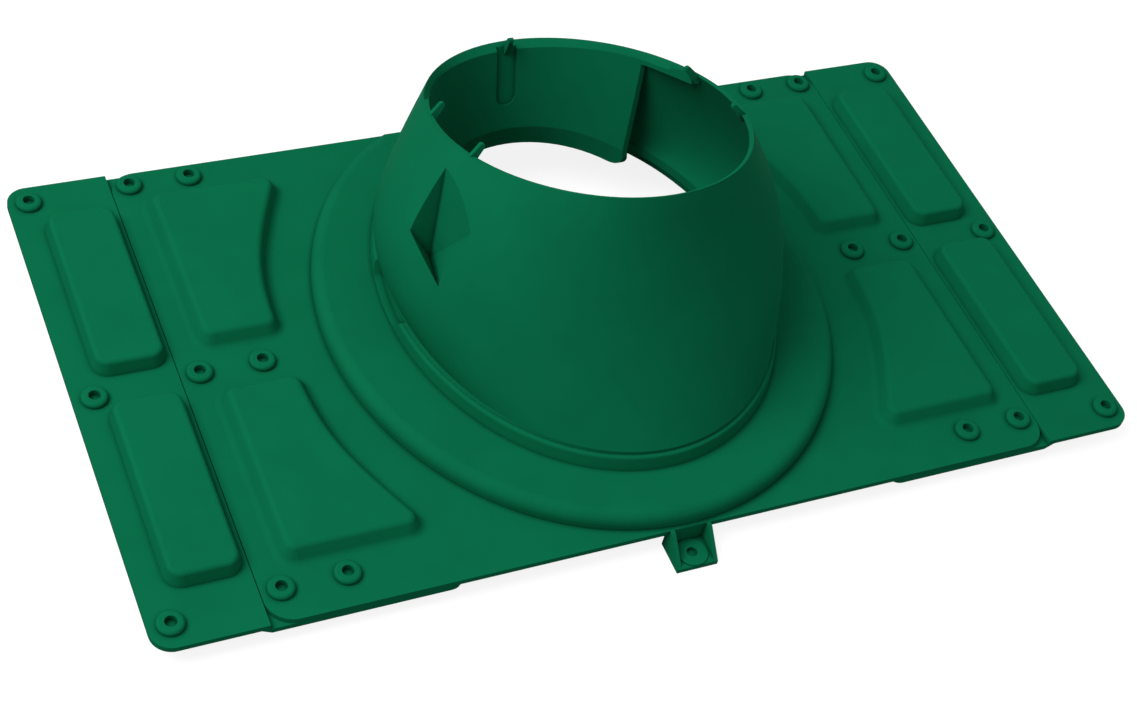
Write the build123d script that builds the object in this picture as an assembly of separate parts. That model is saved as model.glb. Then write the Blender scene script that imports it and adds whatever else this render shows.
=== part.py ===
from build123d import *
import math
import os

os.makedirs("parts", exist_ok=True)

# Sheet thickness and outline of the centre panel
sheet_t = 3.7
panel_half_x = 249.2
panel_front_y = -176.4
panel_back_y = 166.4
panel_corner_r = 16.0

# Side wings: visible sheet beside the panel, tongue one sheet lower beneath it
wing_show = 63.3
wing_outer_x = panel_half_x + wing_show
wing_front_y = -176.4
wing_back_y = 167.6
wing_corner_r = 12.5
seam_gap = 0.6
tongue_lap = 111.7
tongue_inner_x = panel_half_x - tongue_lap
tongue_corner_r = 8.0
ramp_top_out = 5.3
ramp_bottom_in = 0.7

# Length that is beyond every edge, for trimming
reach = 2 * wing_outer_x

# Screw bosses, each a raised pad with a blind pilot bore
boss_r = 7.8
boss_h = 3.5
boss_round = 2.2
pilot_r = 3.5
pilot_depth = 4.2
panel_boss_edge = (49.0, 11.4)
panel_boss_x = [panel_half_x - edge for edge in panel_boss_edge]
panel_boss_y = (-155.7, 0.0, 155.7)
wing_boss_edge = 12.5
wing_boss_x = wing_outer_x - wing_boss_edge
wing_boss_y = (-161.8, -4.0, 153.8)

# Stiffening pads of the centre panel
pad_h = 9.5
pad_draft = 30.0
pad_corner_r = 10.0
pad_near_y = 16.0
pad_far_y = 142.5
pad_edge = 15.4
pad_outer_x = panel_half_x - pad_edge
pad_inner_curve = [(181.6, 16.0), (180.6, 68.2), (173.5, 82.1), (143.3, 142.5)]
pad_top_round = 4.0
pad_foot_round = 5.0

# Stiffening pads of the wings
wing_pad_h = 10.0
wing_pad_draft = 15.0
wing_pad_in = 3.2
wing_pad_edge = 16.1
wing_pad_front_y = (-141.4, -13.2)
wing_pad_back_y = (9.6, 136.6)
wing_pad_corner_r = 10.0
wing_pad_top_round = 3.0

# Raised oval platform round the pipe opening
platform_a = 160.3
platform_b = 176.4
platform_y = 2.0
platform_h = 11.6
platform_round = 7.0
platform_end_y = 156.5

# Oval ring that carries the collar: half width, half length and centre at each level
ring_foot = (122.4, 148.9, 7.1)
ring_top = (121.6, 146.6, 7.4)
ring_rise = 10.1
ring_round = 2.0
ring_bore = (118.2, 144.3, 7.1)
ring_notch_y = (-2.0, 38.0)
ring_notch_floor = 1.4
ring_notch_run = 7.0
ring_notch_round = 4.0

# Leaning collar: foot oval, middle control and rim oval
collar_a = (117.2, 141.0, 92.1)
collar_b = (141.9, 109.2, 116.7)
collar_back_b = (141.9, 109.2, 116.7)
collar_y = (5.0, 15.7, 39.6)
collar_z = (27.5, 60.3, 128.7)
collar_tilt = (0.0, 11.1, 19.7)
wall_t = 3.7
skirt_t = 4.1

# Rim: flat land on both sides, thin edge in front with a steep flare inside it
rim_land = 3.2
front_edge = 0.9
front_flare = (1.4, 4.6)
flare_depth = 9.0
flare_y = -25.0

# Round sleeve inside the back of the collar, for a pipe of 160 mm
sleeve_bore_r = 80.5
sleeve_t = 2.8
sleeve_centre = 31.0
lip_drop = 4.5
lip_t = 3.0
funnel_edge = 0.4
funnel_y = 48.0
lip_taper = [(86.0, 31.0), (76.5, 56.0)]
sleeve_end_y = 82.0
sleeve_end_lean = 11.8
sleeve_end_r = 8.0
sleeve_bend_z = 36.2
sleeve_foot_z = 22.2
slot_x = -3.0
slot_w = 13.6
slot_l = 42.0
slot_depth = 2.0

# Small ribs on the rim, leaning up and inward: place of each, and its profile inward and upward
rib_w = 3.0
rib_places = [(-86.3, -33.0), (86.3, -33.0), (-86.6, 27.0), (86.6, 27.0)]
rib_profile = [(-2.0, -5.0), (0.6, -5.0), (7.6, 4.4), (7.6, 6.6), (5.4, 6.8), (-2.0, -0.6)]
rib_round = 0.9
back_rib_y = 112.0
back_rib_profile = [(-3.0, -7.0), (0.5, -7.0), (7.4, 3.2), (7.6, 5.6), (5.2, 5.8), (-3.0, -2.4)]

# Four-sided recess in the collar's side: corner points and the deepest point
recess_corners = [(-96.9, 15.9, 126.0), (-96.0, -26.1, 114.5), (-111.6, -30.0, 78.3), (-116.6, 7.4, 87.9)]
recess_deep = (-103.2, 2.7, 67.2)
recess_inward = (0.35, 0.35, -0.87)
recess_backing = (1.8, 1.8, -8.6)
recess_reach = 40.0

# Fixing lug under the front edge
lug_half_x = 13.0
lug_wall = 2.6
lug_back_t = 3.6
lug_drop = 13.5
lug_floor_t = 3.7
lug_length = 18.1
lug_hole_out = 9.0
lug_pad_r = 9.4
lug_pad_h = 0.8
lug_pilot_r = 3.2
lug_pilot_depth = 2.6
lug_front_y = panel_front_y - lug_length
lug_hole_y = panel_front_y - lug_hole_out

# Value of a control curve, 0 at the collar's foot and 1 at its rim


def along(values, s):
    return values[0] * (1 - s) ** 2 + 2 * values[1] * s * (1 - s) + values[2] * s * s


# Section of the collar, its front and back half each with its own length
def collarOval(s, inset):
    tilt = math.radians(along(collar_tilt, s))
    plane = Plane(origin=(0, along(collar_y, s), along(collar_z, s)), x_dir=(1, 0, 0),
                  z_dir=(0, math.sin(tilt), math.cos(tilt)))
    half_width = along(collar_a, s) - inset
    front = EllipticalCenterArc((0, 0), half_width, along(collar_b, s) - inset, 180, arc_size=180)
    back = EllipticalCenterArc((0, 0), half_width, along(collar_back_b, s) - inset, 0, arc_size=180)
    return plane * make_face([front, back])


def oval(a, b, y, z):
    return Pos(0, y, z) * Ellipse(a, b)


def prism(face, z0, z1):
    return Pos(0, 0, z0) * extrude(face, z1 - z0)


def block(x0, x1, y0, y1, z0, z1):
    return Pos((x0 + x1) / 2, (y0 + y1) / 2, (z0 + z1) / 2) * Box(x1 - x0, y1 - y0, z1 - z0)


def sideBlock(points):
    return extrude(Plane.YZ * make_face(Polyline(*points, close=True)), reach, both=True)


def levelEdges(shape, z):
    boxes = [(edge, edge.bounding_box()) for edge in shape.edges()]
    return ShapeList([edge for edge, box in boxes if abs(box.min.Z - z) < 0.01 and abs(box.max.Z - z) < 0.01])


def fourWays(shape):
    other = mirror(shape, about=Plane.XZ)
    return [shape, other, mirror(shape, about=Plane.YZ), mirror(other, about=Plane.YZ)]


def padOutline(inset):
    near = pad_near_y + inset
    far = pad_far_y - inset
    outer = -pad_outer_x + inset
    low, bend, turn, tip = pad_inner_curve
    start = (-low[0] - inset, near)
    end = (-tip[0] - 1.62 * inset, far)
    side = Bezier(start, (-bend[0] - inset, bend[1]), (-turn[0] - 1.1 * inset, turn[1]), end)
    face = make_face([Line((outer, near), start), side, Line(end, (outer, far)), Line((outer, far), (outer, near))])
    return fillet(face.vertices(), pad_corner_r - inset)


# Straight-sided cut between an oval at the rim plane and a smaller one below it, carried on above the rim
def rimCut(top, low, depth):
    share = 1 / depth
    above = [t + (t - w) * share for t, w in zip(top, low)]
    return loft([oval(*above, 1), oval(*low, -depth)])


# Everything outside the four facets that meet at the deepest point
def facetBlock(shift, scale, depth):
    apex = deep + shift
    low = [apex + (c - deep) * scale for c in corners]
    high = [c - inward * depth for c in low]
    faces = []
    for i in range(4):
        j = (i + 1) % 4
        faces += [Face(Wire.make_polygon([apex, low[i], low[j]])),
                  Face(Wire.make_polygon([apex - inward * depth, high[i], high[j]])),
                  Face(Wire.make_polygon([low[i], low[j], high[j], high[i]]))]
    solid = Solid(Shell(faces))
    return solid if solid.volume > 0 else -solid


# Screw boss with its blind pilot bore
boss = Pos(0, 0, sheet_t / 2) * Cylinder(boss_r, boss_h + sheet_t / 2, align=(Align.CENTER, Align.CENTER, Align.MIN))
boss = fillet(levelEdges(boss, sheet_t + boss_h), boss_round)
pilot = Pos(0, 0, sheet_t + boss_h - pilot_depth) * Cylinder(
    pilot_r, 2 * pilot_depth, align=(Align.CENTER, Align.CENTER, Align.MIN))

# Stiffening pad of the panel, hollow from below
slope = math.tan(math.radians(pad_draft))
pad = Pos(0, 0, sheet_t) * extrude(padOutline(0), pad_h, taper=pad_draft)
pad = fillet(levelEdges(pad, sheet_t + pad_h), pad_top_round)
pad += block(-pad_outer_x - 8, -pad_inner_curve[3][0] + 2, pad_near_y - 8, pad_far_y + 8, 0.5, sheet_t)
foot = [e for e in levelEdges(pad, sheet_t) if e.bounding_box().min.X > -pad_outer_x - 1
        and e.bounding_box().max.X < -pad_inner_curve[3][0] and e.bounding_box().min.Y > pad_near_y - 1
        and e.bounding_box().max.Y < pad_far_y + 1]
pad = fillet(foot, pad_foot_round)
pad_inset = sheet_t / math.cos(math.radians(pad_draft)) - sheet_t * slope
pad_hollow = extrude(padOutline(pad_inset), pad_h, taper=pad_draft)
print("pad", round(pad.volume), round(pad_hollow.volume), pad.is_valid)


# Stiffening pad of a wing, hollow from below
def wingPad(y0, y1, z0, inset):
    x0 = panel_half_x + wing_pad_in
    x1 = wing_outer_x - wing_pad_edge
    face = Pos(-(x0 + x1) / 2, (y0 + y1) / 2) * RectangleRounded(
        x1 - x0 - 2 * inset, y1 - y0 - 2 * inset, wing_pad_corner_r - inset)
    return Pos(0, 0, z0) * extrude(face, wing_pad_h, taper=wing_pad_draft)


wing_inset = sheet_t / math.cos(math.radians(wing_pad_draft)) - sheet_t * math.tan(math.radians(wing_pad_draft))

# Left wing: outline in plan, bent section across it
wing_len = wing_back_y - wing_front_y
wing_plan = make_face(Polyline((-wing_outer_x, wing_front_y), (-tongue_inner_x, wing_front_y),
                               (-tongue_inner_x, wing_back_y), (-wing_outer_x, wing_back_y), close=True))
wing_plan = fillet(wing_plan.vertices().filter_by(lambda v: v.X < -panel_half_x), wing_corner_r)
wing_plan = fillet(wing_plan.vertices().filter_by(lambda v: v.X > -tongue_inner_x - 1), tongue_corner_r)
seam_x = -panel_half_x - seam_gap
wing_section = Plane.XZ * make_face(Polyline(
    (-wing_outer_x, sheet_t), (-wing_outer_x, 0), (-panel_half_x - ramp_top_out, 0),
    (-panel_half_x + ramp_bottom_in, -sheet_t), (-tongue_inner_x, -sheet_t), (-tongue_inner_x, 0),
    (seam_x, 0), (seam_x, sheet_t), close=True))
wing = extrude(wing_section, wing_len, both=True) & prism(wing_plan, -2 * sheet_t, 2 * sheet_t)
wing_parts = []
for y0, y1 in (wing_pad_front_y, wing_pad_back_y):
    hump = wingPad(y0, y1, sheet_t, 0)
    hump = fillet(levelEdges(hump, sheet_t + wing_pad_h), wing_pad_top_round)
    wing_parts.append(hump)
wing_parts += [Pos(-wing_boss_x, y) * boss for y in wing_boss_y]
wing = wing + wing_parts
wing -= [wingPad(y0, y1, 0, wing_inset) for y0, y1 in (wing_pad_front_y, wing_pad_back_y)]
wing -= [Pos(-wing_boss_x, y) * pilot for y in wing_boss_y]
print("wing", round(wing.volume), wing.is_valid, len(wing.solids()))

# Centre sheet
panel_mid_y = (panel_front_y + panel_back_y) / 2
sheet = Pos(0, panel_mid_y) * extrude(
    RectangleRounded(2 * panel_half_x, panel_back_y - panel_front_y, panel_corner_r), sheet_t)

# Platform, flush with the back edge of the sheet
platform_z = sheet_t + platform_h
platform = prism(oval(platform_a, platform_b, platform_y, 0), sheet_t / 3, platform_z)
platform = fillet(levelEdges(platform, platform_z), platform_round)
end_face = make_face(Polyline((-reach, 0), (panel_back_y, 0), (panel_back_y, sheet_t), (platform_end_y, platform_z),
                              (-reach, platform_z), close=True))
end_corner = end_face.vertices().filter_by(lambda v: abs(v.X - platform_end_y) < 0.01)
end_face = fillet(end_corner, platform_round)
platform &= extrude(Plane.YZ * end_face, reach, both=True)
platform_hollow = prism(oval(platform_a - sheet_t, platform_b - sheet_t, platform_y, 0), 0, platform_h)
platform_hollow = fillet(levelEdges(platform_hollow, platform_h), platform_round - sheet_t)
end_angle = math.atan2(platform_z - sheet_t, panel_back_y - platform_end_y)
end_y = platform_end_y - sheet_t * math.sin(end_angle)
end_z = platform_z - sheet_t * math.cos(end_angle)
platform_hollow &= sideBlock([(-reach, -reach), (panel_back_y - sheet_t, -reach), (panel_back_y - sheet_t, 0),
                              (end_y + end_z / math.tan(end_angle), 0), (end_y, end_z), (end_y - sheet_t, reach),
                              (-reach, reach)])
print("platform", round(platform.volume), platform.is_valid, platform_hollow.is_valid)

# Ring on the platform, with the sloping land up to the collar
ring_z = platform_z + ring_rise
ring = loft([oval(*ring_foot, platform_z - sheet_t / 2), oval(*ring_top, ring_z)])
ring = fillet(levelEdges(ring, ring_z), ring_round)
land = loft([oval(ring_top[0] - ring_round - 0.2, ring_top[1] - ring_round - 0.2, ring_top[2], ring_z - 0.4),
             oval(collar_a[0] - 0.01, collar_b[0] - 0.01, collar_y[0], collar_z[0])])
skirt = prism(oval(collar_a[0], collar_b[0], collar_y[0], 0), platform_h, collar_z[0])
notch_front, notch_back = ring_notch_y
notch_floor = platform_z + ring_notch_floor
notch_face = make_face(Polyline((notch_front, notch_floor), (notch_back, notch_floor),
                                (notch_back + ring_notch_run, ring_z + 1), (notch_front - ring_notch_run, ring_z + 1),
                                close=True))
notch_corners = notch_face.vertices().filter_by(lambda v: abs(v.Y - notch_floor) < 0.01)
notch_face = fillet(notch_corners, ring_notch_round)
notch = extrude(Plane.YZ * notch_face, -reach) - skirt
ring = ring + land - notch
print("ring", round(ring.volume), ring.is_valid)

# Leaning collar
outer = loft([collarOval(s, 0) for s in (0, 0.25, 0.5, 0.75, 1.0)])
inner = loft([collarOval(s, wall_t + (rim_land - wall_t) * s * s) for s in (0, 0.25, 0.5, 0.75, 1.0, 1.12)])
collar_inside = oval(collar_a[0] - skirt_t, collar_b[0] - skirt_t, collar_y[0], 0)
shaft = prism(collar_inside, -sheet_t, collar_z[0])
print("collar", round(outer.volume), outer.is_valid, inner.is_valid)

# Wider passage through the ring, kept narrow behind the notch
ring_hollow = prism(oval(*ring_bore, 0), platform_h - 0.5, ring_z - wall_t)
ring_hollow -= block(-reach, 0, notch_front - ring_notch_run - wall_t, notch_back + ring_notch_run + wall_t,
                     -reach, reach)

# Rim plane, the funnel of its back half and the flare of its front
tilt = math.radians(collar_tilt[2])
rim_plane = Plane(origin=(0, collar_y[2], collar_z[2]), x_dir=(1, 0, 0), z_dir=(0, math.sin(tilt), math.cos(tilt)))
rim_a = collar_a[2]
rim_b = collar_b[2]
throat = (sleeve_bore_r, sleeve_bore_r, sleeve_centre)
funnel = rimCut((rim_a - rim_land, rim_b - rim_land, 0), throat, lip_drop)
funnel += (rimCut((rim_a - funnel_edge, rim_b - funnel_edge, 0), throat, lip_drop)
           & block(-reach, reach, funnel_y, reach, -reach, reach))
funnel = rim_plane * (funnel & block(-reach, reach, sleeve_centre, reach, -reach, reach))
flare = rimCut((rim_a - rim_land, rim_b - front_edge, 0),
               (rim_a - rim_land - front_flare[0], rim_b - front_edge - front_flare[1], 0), flare_depth)
flare = rim_plane * (flare & block(-reach, reach, -reach, flare_y, -reach, reach))
bore = rim_plane * (Pos(0, sleeve_centre) * extrude(Circle(sleeve_bore_r), collar_z[2], both=True))
lip = (outer & (rim_plane * block(-reach, reach, sleeve_centre, reach, -lip_drop - lip_t, 0))) - bore
start, end = lip_taper
taper_face = make_face(Polyline(start, end, (-end[0], end[1]), (-start[0], start[1]), close=True))
lip -= rim_plane * extrude(taper_face, lip_drop + lip_t, both=True)
print("funnel", round(funnel.volume), round(flare.volume), round(lip.volume))

# Round sleeve: along the rim's axis, then upright for its last part, with a leaning end
end_rate = math.tan(math.radians(sleeve_end_lean))
end_face = make_face(Polyline(
    (sleeve_end_y + end_rate * sleeve_foot_z, sleeve_foot_z), (reach, sleeve_foot_z), (reach, collar_z[2]),
    (sleeve_end_y + end_rate * collar_z[2], collar_z[2]), close=True))
end_corner = min(end_face.vertices(), key=lambda v: v.X + v.Y)
end_block = extrude(Plane.YZ * fillet(end_corner, sleeve_end_r), reach, both=True)
tube = rim_plane * (Pos(0, sleeve_centre, -lip_drop - lip_t / 2) * extrude(
    Circle(sleeve_bore_r + sleeve_t) - Circle(sleeve_bore_r), -1.1 * collar_z[2]))
tube &= block(-reach, reach, -reach, reach, sleeve_bend_z, reach)
bend_depth = (collar_z[2] - sleeve_centre * math.sin(tilt) - sleeve_bend_z) / math.cos(tilt)
bend_y = collar_y[2] + sleeve_centre * math.cos(tilt) - bend_depth * math.sin(tilt)
band = prism(oval(sleeve_bore_r + sleeve_t, (sleeve_bore_r + sleeve_t) / math.cos(tilt), bend_y, 0)
             - oval(sleeve_bore_r, sleeve_bore_r / math.cos(tilt), bend_y, 0), sleeve_foot_z, sleeve_bend_z)
sleeve = (tube + band) & end_block & (outer + skirt)
print("sleeve", round(sleeve.volume), sleeve.is_valid, len(sleeve.solids()))

# Slot down the back of the sleeve
slot_face = Plane.XZ * (Pos(0, -slot_l / 2 + slot_w / 2) * SlotOverall(slot_l + slot_w, slot_w, rotation=90))
slot_cut = rim_plane * (Pos(slot_x, sleeve_centre + sleeve_bore_r + slot_depth, 0) * extrude(slot_face, wall_t * 8))

# Small ribs on the rim
ribs = []
for x, y in rib_places:
    side = -1 if x > 0 else 1
    rib_face = make_face(Polyline([(x + side * u, v) for u, v in rib_profile], close=True))
    tips = [v for v in rib_face.vertices() if v.Y > 0]
    rib_face = fillet(tips, rib_round)
    ribs.append(rim_plane * (Pos(0, y, 0) * extrude(Plane.XZ * rib_face, rib_w / 2, both=True)))

back_face = make_face(Polyline([(-u, v) for u, v in back_rib_profile], close=True))
back_face = fillet([v for v in back_face.vertices() if v.Y > 0], rib_round)
ribs.append(rim_plane * (Pos(slot_x, back_rib_y, 0) * extrude(Plane.YZ * back_face, rib_w / 2, both=True)))

# Recess in the collar's side, with thickened wall behind it
deep = Vector(*recess_deep)
inward = Vector(*recess_inward).normalized()
corners = [Vector(*c) for c in recess_corners]
recess = facetBlock(Vector(0, 0, 0), 1.25, recess_reach)
backing = facetBlock(Vector(*recess_backing), 1.12, recess_reach * 0.85) & outer
print("recess", round(recess.volume), round(backing.volume))

# Fixing lug under the front edge
lug_profile = Plane.YZ * make_face(Polyline(
    (panel_front_y + lug_back_t, sheet_t), (panel_front_y - 2.1, sheet_t), (lug_front_y, -lug_drop + lug_floor_t - 0.7),
    (lug_front_y, -lug_drop), (panel_front_y + lug_back_t, -lug_drop), close=True))
lug = extrude(lug_profile, lug_half_x, both=True)
lug -= block(-lug_half_x + lug_wall, lug_half_x - lug_wall, -reach, panel_front_y, -lug_drop + lug_floor_t, reach)
lug += Pos(0, lug_hole_y, -lug_drop + lug_floor_t / 2) * Cylinder(
    lug_pad_r, lug_floor_t / 2 + lug_pad_h, align=(Align.CENTER, Align.CENTER, Align.MIN))
lug_top = -lug_drop + lug_floor_t + lug_pad_h
lug -= Pos(0, lug_hole_y, lug_top - lug_pilot_depth) * Cylinder(
    lug_pilot_r, 2 * lug_pilot_depth, align=(Align.CENTER, Align.CENTER, Align.MIN))
print("lug", round(lug.volume), lug.is_valid)

# The centre moulding
panel = sheet + fourWays(pad) + [platform, ring, skirt, outer, lug]
panel = panel + [Pos(side * x, y) * boss for side in (-1, 1) for x in panel_boss_x for y in panel_boss_y]
print("panel solid", round(panel.volume), len(panel.solids()))
panel += backing
panel -= fourWays(pad_hollow) + [platform_hollow, ring_hollow, shaft]
panel -= [Pos(side * x, y) * pilot for side in (-1, 1) for x in panel_boss_x for y in panel_boss_y]
panel -= inner - backing
panel = panel - funnel - flare + (lip - funnel)
panel = panel + sleeve
panel -= slot_cut
panel += ribs
panel -= recess
print("panel", round(panel.volume), panel.is_valid, len(panel.solids()))

pieces = {"flashing_panel": panel, "wing_left": wing, "wing_right": mirror(wing, about=Plane.YZ)}
for name, shape in pieces.items():
    solid = max(shape.solids(), key=lambda s: s.volume)
    print(name, len(shape.solids()), solid.is_valid, round(solid.volume), solid.bounding_box())
    export_step(solid, os.path.join("parts", name + ".step"))
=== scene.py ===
import bpy
from mathutils import Matrix, Vector


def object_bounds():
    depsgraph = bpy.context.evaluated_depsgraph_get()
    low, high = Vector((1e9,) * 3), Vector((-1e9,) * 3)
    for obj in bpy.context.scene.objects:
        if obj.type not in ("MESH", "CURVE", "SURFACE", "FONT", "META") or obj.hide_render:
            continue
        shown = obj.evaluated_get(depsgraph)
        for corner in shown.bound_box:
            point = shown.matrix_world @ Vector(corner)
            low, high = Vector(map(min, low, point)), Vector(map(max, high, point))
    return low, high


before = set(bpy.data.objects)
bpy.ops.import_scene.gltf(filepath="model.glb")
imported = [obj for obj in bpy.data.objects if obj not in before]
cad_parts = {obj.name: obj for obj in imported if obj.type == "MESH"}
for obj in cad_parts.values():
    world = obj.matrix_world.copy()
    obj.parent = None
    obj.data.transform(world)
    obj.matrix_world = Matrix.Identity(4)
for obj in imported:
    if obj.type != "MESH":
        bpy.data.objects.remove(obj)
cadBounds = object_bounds()
print("stage: frame loaded")

# Camera and picture area
cameraSetup = {
    "place": (-0.5044, -0.7599, 0.9555),
    "view": (0.37636, 0.56082, -0.73745),
    "up": (0.17910, 0.73692, 0.65182),
    "lens": 67.4,
}

camData = bpy.data.cameras.new("photoCamera")
camData.lens = cameraSetup["lens"]
camData.sensor_width = 36
camData.clip_start = 0.05
camera = bpy.data.objects.new("photoCamera", camData)
bpy.context.scene.collection.objects.link(camera)
viewDir = Vector(cameraSetup["view"]).normalized()
upDir = Vector(cameraSetup["up"]).normalized()
rightDir = viewDir.cross(upDir).normalized()
upDir = rightDir.cross(viewDir)
camera.location = cameraSetup["place"]
camera.rotation_euler = Matrix((rightDir, upDir, -viewDir)).transposed().to_euler()
bpy.context.scene.camera = camera
print("stage: camera placed")

# Moulded plastic, colours as seen in daylight
plasticFinish = {
    "color": (9, 105, 70),
    "shade": 1.0,
    "roughness": 0.75,
    "specular": 0.01,
    "grainSize": 0.0006,
    "grainDepth": 0.00002,
    "mottleSize": 0.03,
    "mottleAmount": 0.05,
    "waveSize": 0.06,
    "waveDepth": 0.00012,
    # The next two values set the painted shade in corners and creases
    "paintedShadeReach": 0.0035,
    "paintedShadeLevel": 0.45,
}


def linearColor(rgb, factor=1.0):
    out = []
    for c in rgb:
        c = c / 255
        out.append((c / 12.92 if c <= 0.04045 else ((c + 0.055) / 1.055) ** 2.4) * factor)
    return (*out, 1.0)


def addNode(tree, kind, x=0, y=0, **values):
    node = tree.nodes.new(kind)
    node.location = (x, y)
    for name, value in values.items():
        setattr(node, name, value)
    return node


def makeGroup(name, inputs, outputs):
    group = bpy.data.node_groups.new(name, "ShaderNodeTree")
    for label, kind, default in inputs:
        socket = group.interface.new_socket(label, in_out="INPUT", socket_type=kind)
        if default is not None:
            socket.default_value = default
    for label, kind in outputs:
        group.interface.new_socket(label, in_out="OUTPUT", socket_type=kind)
    start = addNode(group, "NodeGroupInput", -900, 0)
    end = addNode(group, "NodeGroupOutput", 700, 0)
    return group, start, end


# Cloudy change of tone and fine grain of a moulded skin
def buildSkinGroup():
    group, start, end = makeGroup(
        "moldedSkin",
        [("Color", "NodeSocketColor", None), ("Vector", "NodeSocketVector", None),
         ("Mottle Scale", "NodeSocketFloat", 30.0), ("Mottle Amount", "NodeSocketFloat", 0.05),
         ("Grain Scale", "NodeSocketFloat", 1600.0), ("Wave Scale", "NodeSocketFloat", 16.0),
         ("Roughness", "NodeSocketFloat", 0.42)],
        [("Color", "NodeSocketColor"), ("Roughness", "NodeSocketFloat"), ("Height", "NodeSocketFloat"),
         ("Wave", "NodeSocketFloat")])
    link = group.links.new
    mottle = addNode(group, "ShaderNodeTexNoise", -600, 200)
    mottle.inputs["Detail"].default_value = 4
    link(start.outputs["Vector"], mottle.inputs["Vector"])
    link(start.outputs["Mottle Scale"], mottle.inputs["Scale"])
    spread = addNode(group, "ShaderNodeMapRange", -400, 200)
    spread.inputs["From Min"].default_value = 0.25
    spread.inputs["From Max"].default_value = 0.75
    spread.inputs["To Min"].default_value = -1
    spread.inputs["To Max"].default_value = 1
    link(mottle.outputs["Fac"], spread.inputs["Value"])
    amount = addNode(group, "ShaderNodeMath", -200, 200, operation="MULTIPLY_ADD")
    amount.inputs[2].default_value = 1
    link(spread.outputs["Result"], amount.inputs[0])
    link(start.outputs["Mottle Amount"], amount.inputs[1])
    tone = addNode(group, "ShaderNodeVectorMath", 0, 200, operation="SCALE")
    link(start.outputs["Color"], tone.inputs[0])
    link(amount.outputs[0], tone.inputs["Scale"])
    link(tone.outputs[0], end.inputs["Color"])
    grain = addNode(group, "ShaderNodeTexNoise", -600, -100)
    grain.inputs["Detail"].default_value = 2
    link(start.outputs["Vector"], grain.inputs["Vector"])
    link(start.outputs["Grain Scale"], grain.inputs["Scale"])
    link(grain.outputs["Fac"], end.inputs["Height"])
    wave = addNode(group, "ShaderNodeTexNoise", -600, -300)
    wave.inputs["Detail"].default_value = 1
    link(start.outputs["Vector"], wave.inputs["Vector"])
    link(start.outputs["Wave Scale"], wave.inputs["Scale"])
    link(wave.outputs["Fac"], end.inputs["Wave"])
    gloss = addNode(group, "ShaderNodeMath", -100, -500, operation="MULTIPLY_ADD")
    gloss.inputs[1].default_value = 0.08
    link(spread.outputs["Result"], gloss.inputs[0])
    link(start.outputs["Roughness"], gloss.inputs[2])
    link(gloss.outputs[0], end.inputs["Roughness"])
    return group


# Painted shade: the base colour is darkened in the narrow corners between faces, where shade falls
def buildPaintedShadeGroup():
    group, start, end = makeGroup(
        "paintedCornerShade",
        [("Color", "NodeSocketColor", None), ("Reach", "NodeSocketFloat", 0.0035),
         ("Shade", "NodeSocketFloat", 0.45)],
        [("Color", "NodeSocketColor")])
    link = group.links.new
    # Painted shade: ambient occlusion within the reach sets how dark the corner colour is painted
    corner = addNode(group, "ShaderNodeAmbientOcclusion", -600, 0, samples=8, only_local=True)
    link(start.outputs["Reach"], corner.inputs["Distance"])
    level = addNode(group, "ShaderNodeMapRange", -400, 0)
    level.inputs["From Min"].default_value = 0.35
    level.inputs["From Max"].default_value = 0.95
    level.inputs["To Max"].default_value = 1
    link(corner.outputs["AO"], level.inputs["Value"])
    link(start.outputs["Shade"], level.inputs["To Min"])
    tone = addNode(group, "ShaderNodeVectorMath", 0, 0, operation="SCALE")
    link(start.outputs["Color"], tone.inputs[0])
    link(level.outputs["Result"], tone.inputs["Scale"])
    link(tone.outputs[0], end.inputs["Color"])
    return group


skinGroup = buildSkinGroup()
paintedShadeGroup = buildPaintedShadeGroup()


def makePlastic(name, values):
    material = bpy.data.materials.new(name)
    material.use_nodes = True
    tree = material.node_tree
    tree.nodes.clear()
    link = tree.links.new
    out = addNode(tree, "ShaderNodeOutputMaterial", 900, 0)
    shader = addNode(tree, "ShaderNodeBsdfPrincipled", 600, 0)
    link(shader.outputs[0], out.inputs["Surface"])
    place = addNode(tree, "ShaderNodeTexCoord", -700, 0)
    skin = addNode(tree, "ShaderNodeGroup", -300, 0, node_tree=skinGroup)
    link(place.outputs["Object"], skin.inputs["Vector"])
    skin.inputs["Color"].default_value = linearColor(values["color"], values["shade"])
    skin.inputs["Mottle Scale"].default_value = 1 / values["mottleSize"]
    skin.inputs["Mottle Amount"].default_value = values["mottleAmount"]
    skin.inputs["Grain Scale"].default_value = 1 / values["grainSize"]
    skin.inputs["Wave Scale"].default_value = 1 / values["waveSize"]
    skin.inputs["Roughness"].default_value = values["roughness"]
    # Painted corner shade is multiplied into the base colour
    crease = addNode(tree, "ShaderNodeGroup", 200, 200, node_tree=paintedShadeGroup)
    crease.inputs["Reach"].default_value = values["paintedShadeReach"]
    crease.inputs["Shade"].default_value = values["paintedShadeLevel"]
    link(skin.outputs["Color"], crease.inputs["Color"])
    link(crease.outputs["Color"], shader.inputs["Base Color"])
    link(skin.outputs["Roughness"], shader.inputs["Roughness"])
    grain = addNode(tree, "ShaderNodeBump", 200, -200)
    grain.inputs["Distance"].default_value = values["grainDepth"]
    wave = addNode(tree, "ShaderNodeBump", 0, -300)
    wave.inputs["Distance"].default_value = values["waveDepth"]
    link(skin.outputs["Wave"], wave.inputs["Height"])
    link(wave.outputs["Normal"], grain.inputs["Normal"])
    link(skin.outputs["Height"], grain.inputs["Height"])
    link(grain.outputs["Normal"], shader.inputs["Normal"])
    shader.inputs["Specular IOR Level"].default_value = values["specular"]
    return material


greenPlastic = makePlastic("greenPlastic", plasticFinish)
for name in ("flashing_panel", "wing_left", "wing_right"):
    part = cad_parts[name]
    part.data.materials.clear()
    part.data.materials.append(greenPlastic)
print("stage: plastic assigned")

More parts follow.
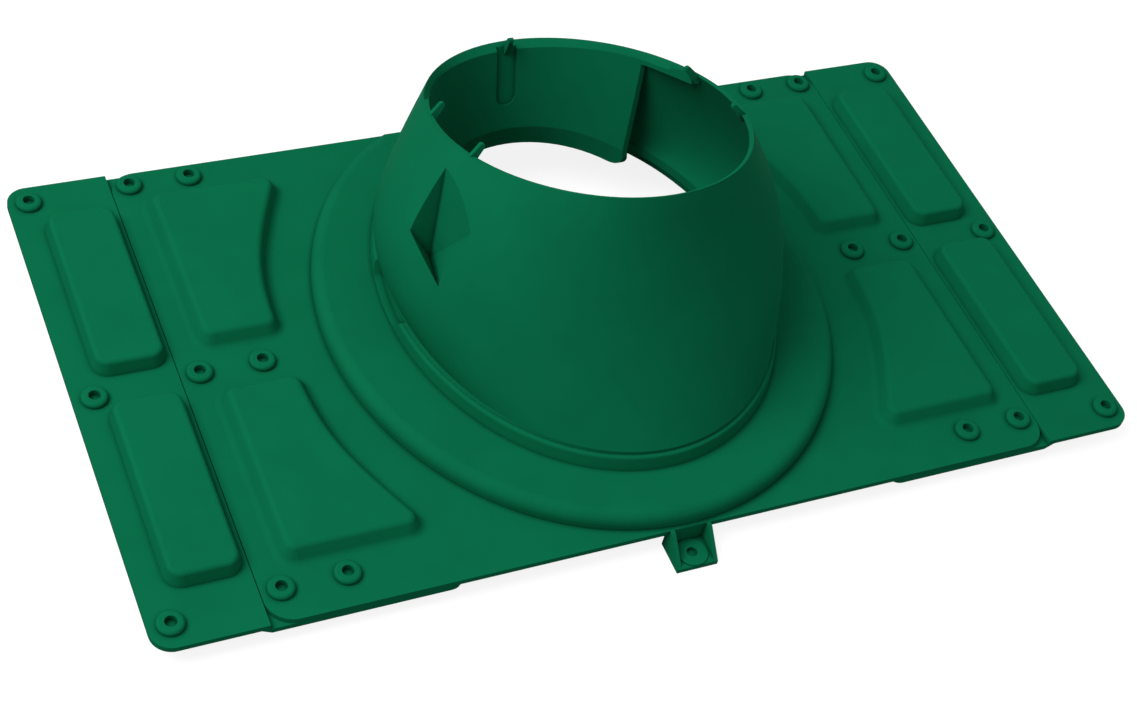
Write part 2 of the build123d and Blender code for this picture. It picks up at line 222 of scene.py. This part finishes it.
# Floor and lights; the floor and the air look white to the camera, and the object's shadow stays on the floor
studio = {
    "floorColor": 0.25,
    "floorWhite": 0.86,
    "floorHalf": 6.0,
    "floorDrop": 0.0002,
    "floorRoughness": 0.9,
    "floorSpecular": 0.1,
    "airLight": 0.37,
    "lampAim": (0, 0, 0.05),
    "keyPower": 50.0,
    "keyPlace": (-1.48, 0.1, 2.0),
    "keySize": 1.5,
    "fillPower": 3.0,
    "fillPlace": (0.1, -0.5, 2.4),
    "fillSize": 1.4,
}


# White for what the camera and glossy reflections see, nothing for the light that falls on the object
def seenDirectly(tree):
    path = addNode(tree, "ShaderNodeLightPath", -600, 300)
    direct = addNode(tree, "ShaderNodeMath", -500, 300, operation="MAXIMUM")
    tree.links.new(path.outputs["Is Camera Ray"], direct.inputs[0])
    tree.links.new(path.outputs["Is Transmission Ray"], direct.inputs[1])
    seen = addNode(tree, "ShaderNodeMath", -400, 300, operation="MAXIMUM")
    tree.links.new(direct.outputs[0], seen.inputs[0])
    tree.links.new(path.outputs["Is Glossy Ray"], seen.inputs[1])
    return seen.outputs[0]


floorZ = cadBounds[0][2] - studio["floorDrop"]
floorMesh = bpy.data.meshes.new("studioFloor")
half = studio["floorHalf"]
floorCorners = [(-half, -half, floorZ), (half, -half, floorZ), (half, half, floorZ), (-half, half, floorZ)]
floorMesh.from_pydata(floorCorners, [], [(0, 1, 2, 3)])
floor = bpy.data.objects.new("studioFloor", floorMesh)
bpy.context.scene.collection.objects.link(floor)
floorMaterial = bpy.data.materials.new("paleFloor")
floorMaterial.use_nodes = True
floorTree = floorMaterial.node_tree
floorShader = floorTree.nodes["Principled BSDF"]
floorShader.inputs["Base Color"].default_value = (studio["floorColor"],) * 3 + (1.0,)
floorShader.inputs["Roughness"].default_value = studio["floorRoughness"]
floorShader.inputs["Specular IOR Level"].default_value = studio["floorSpecular"]
floorShader.inputs["Emission Color"].default_value = (1, 1, 1, 1)
whiteShare = addNode(floorTree, "ShaderNodeMath", -200, 300, operation="MULTIPLY")
whiteShare.inputs[1].default_value = studio["floorWhite"]
floorTree.links.new(seenDirectly(floorTree), whiteShare.inputs[0])
floorTree.links.new(whiteShare.outputs[0], floorShader.inputs["Emission Strength"])
floorMesh.materials.append(floorMaterial)


def addLamp(name, place, power, size):
    data = bpy.data.lights.new(name, "AREA")
    data.energy = power
    data.size = size
    lamp = bpy.data.objects.new(name, data)
    lamp.location = place
    lamp.rotation_euler = (Vector(studio["lampAim"]) - Vector(place)).to_track_quat("-Z", "Y").to_euler()
    bpy.context.scene.collection.objects.link(lamp)


addLamp("keyLamp", studio["keyPlace"], studio["keyPower"], studio["keySize"])
addLamp("fillLamp", studio["fillPlace"], studio["fillPower"], studio["fillSize"])
world = bpy.data.worlds.new("studioAir")
world.use_nodes = True
bpy.context.scene.world = world
worldTree = world.node_tree
background = worldTree.nodes["Background"]
background.inputs["Color"].default_value = (1, 1, 1, 1)
airLevel = addNode(worldTree, "ShaderNodeMapRange", -200, 300)
airLevel.inputs["To Min"].default_value = studio["airLight"]
airLevel.inputs["To Max"].default_value = 1.0
worldTree.links.new(seenDirectly(worldTree), airLevel.inputs["Value"])
worldTree.links.new(airLevel.outputs["Result"], background.inputs["Strength"])
bpy.context.scene.view_settings.view_transform = "Standard"
print("stage: studio lit")
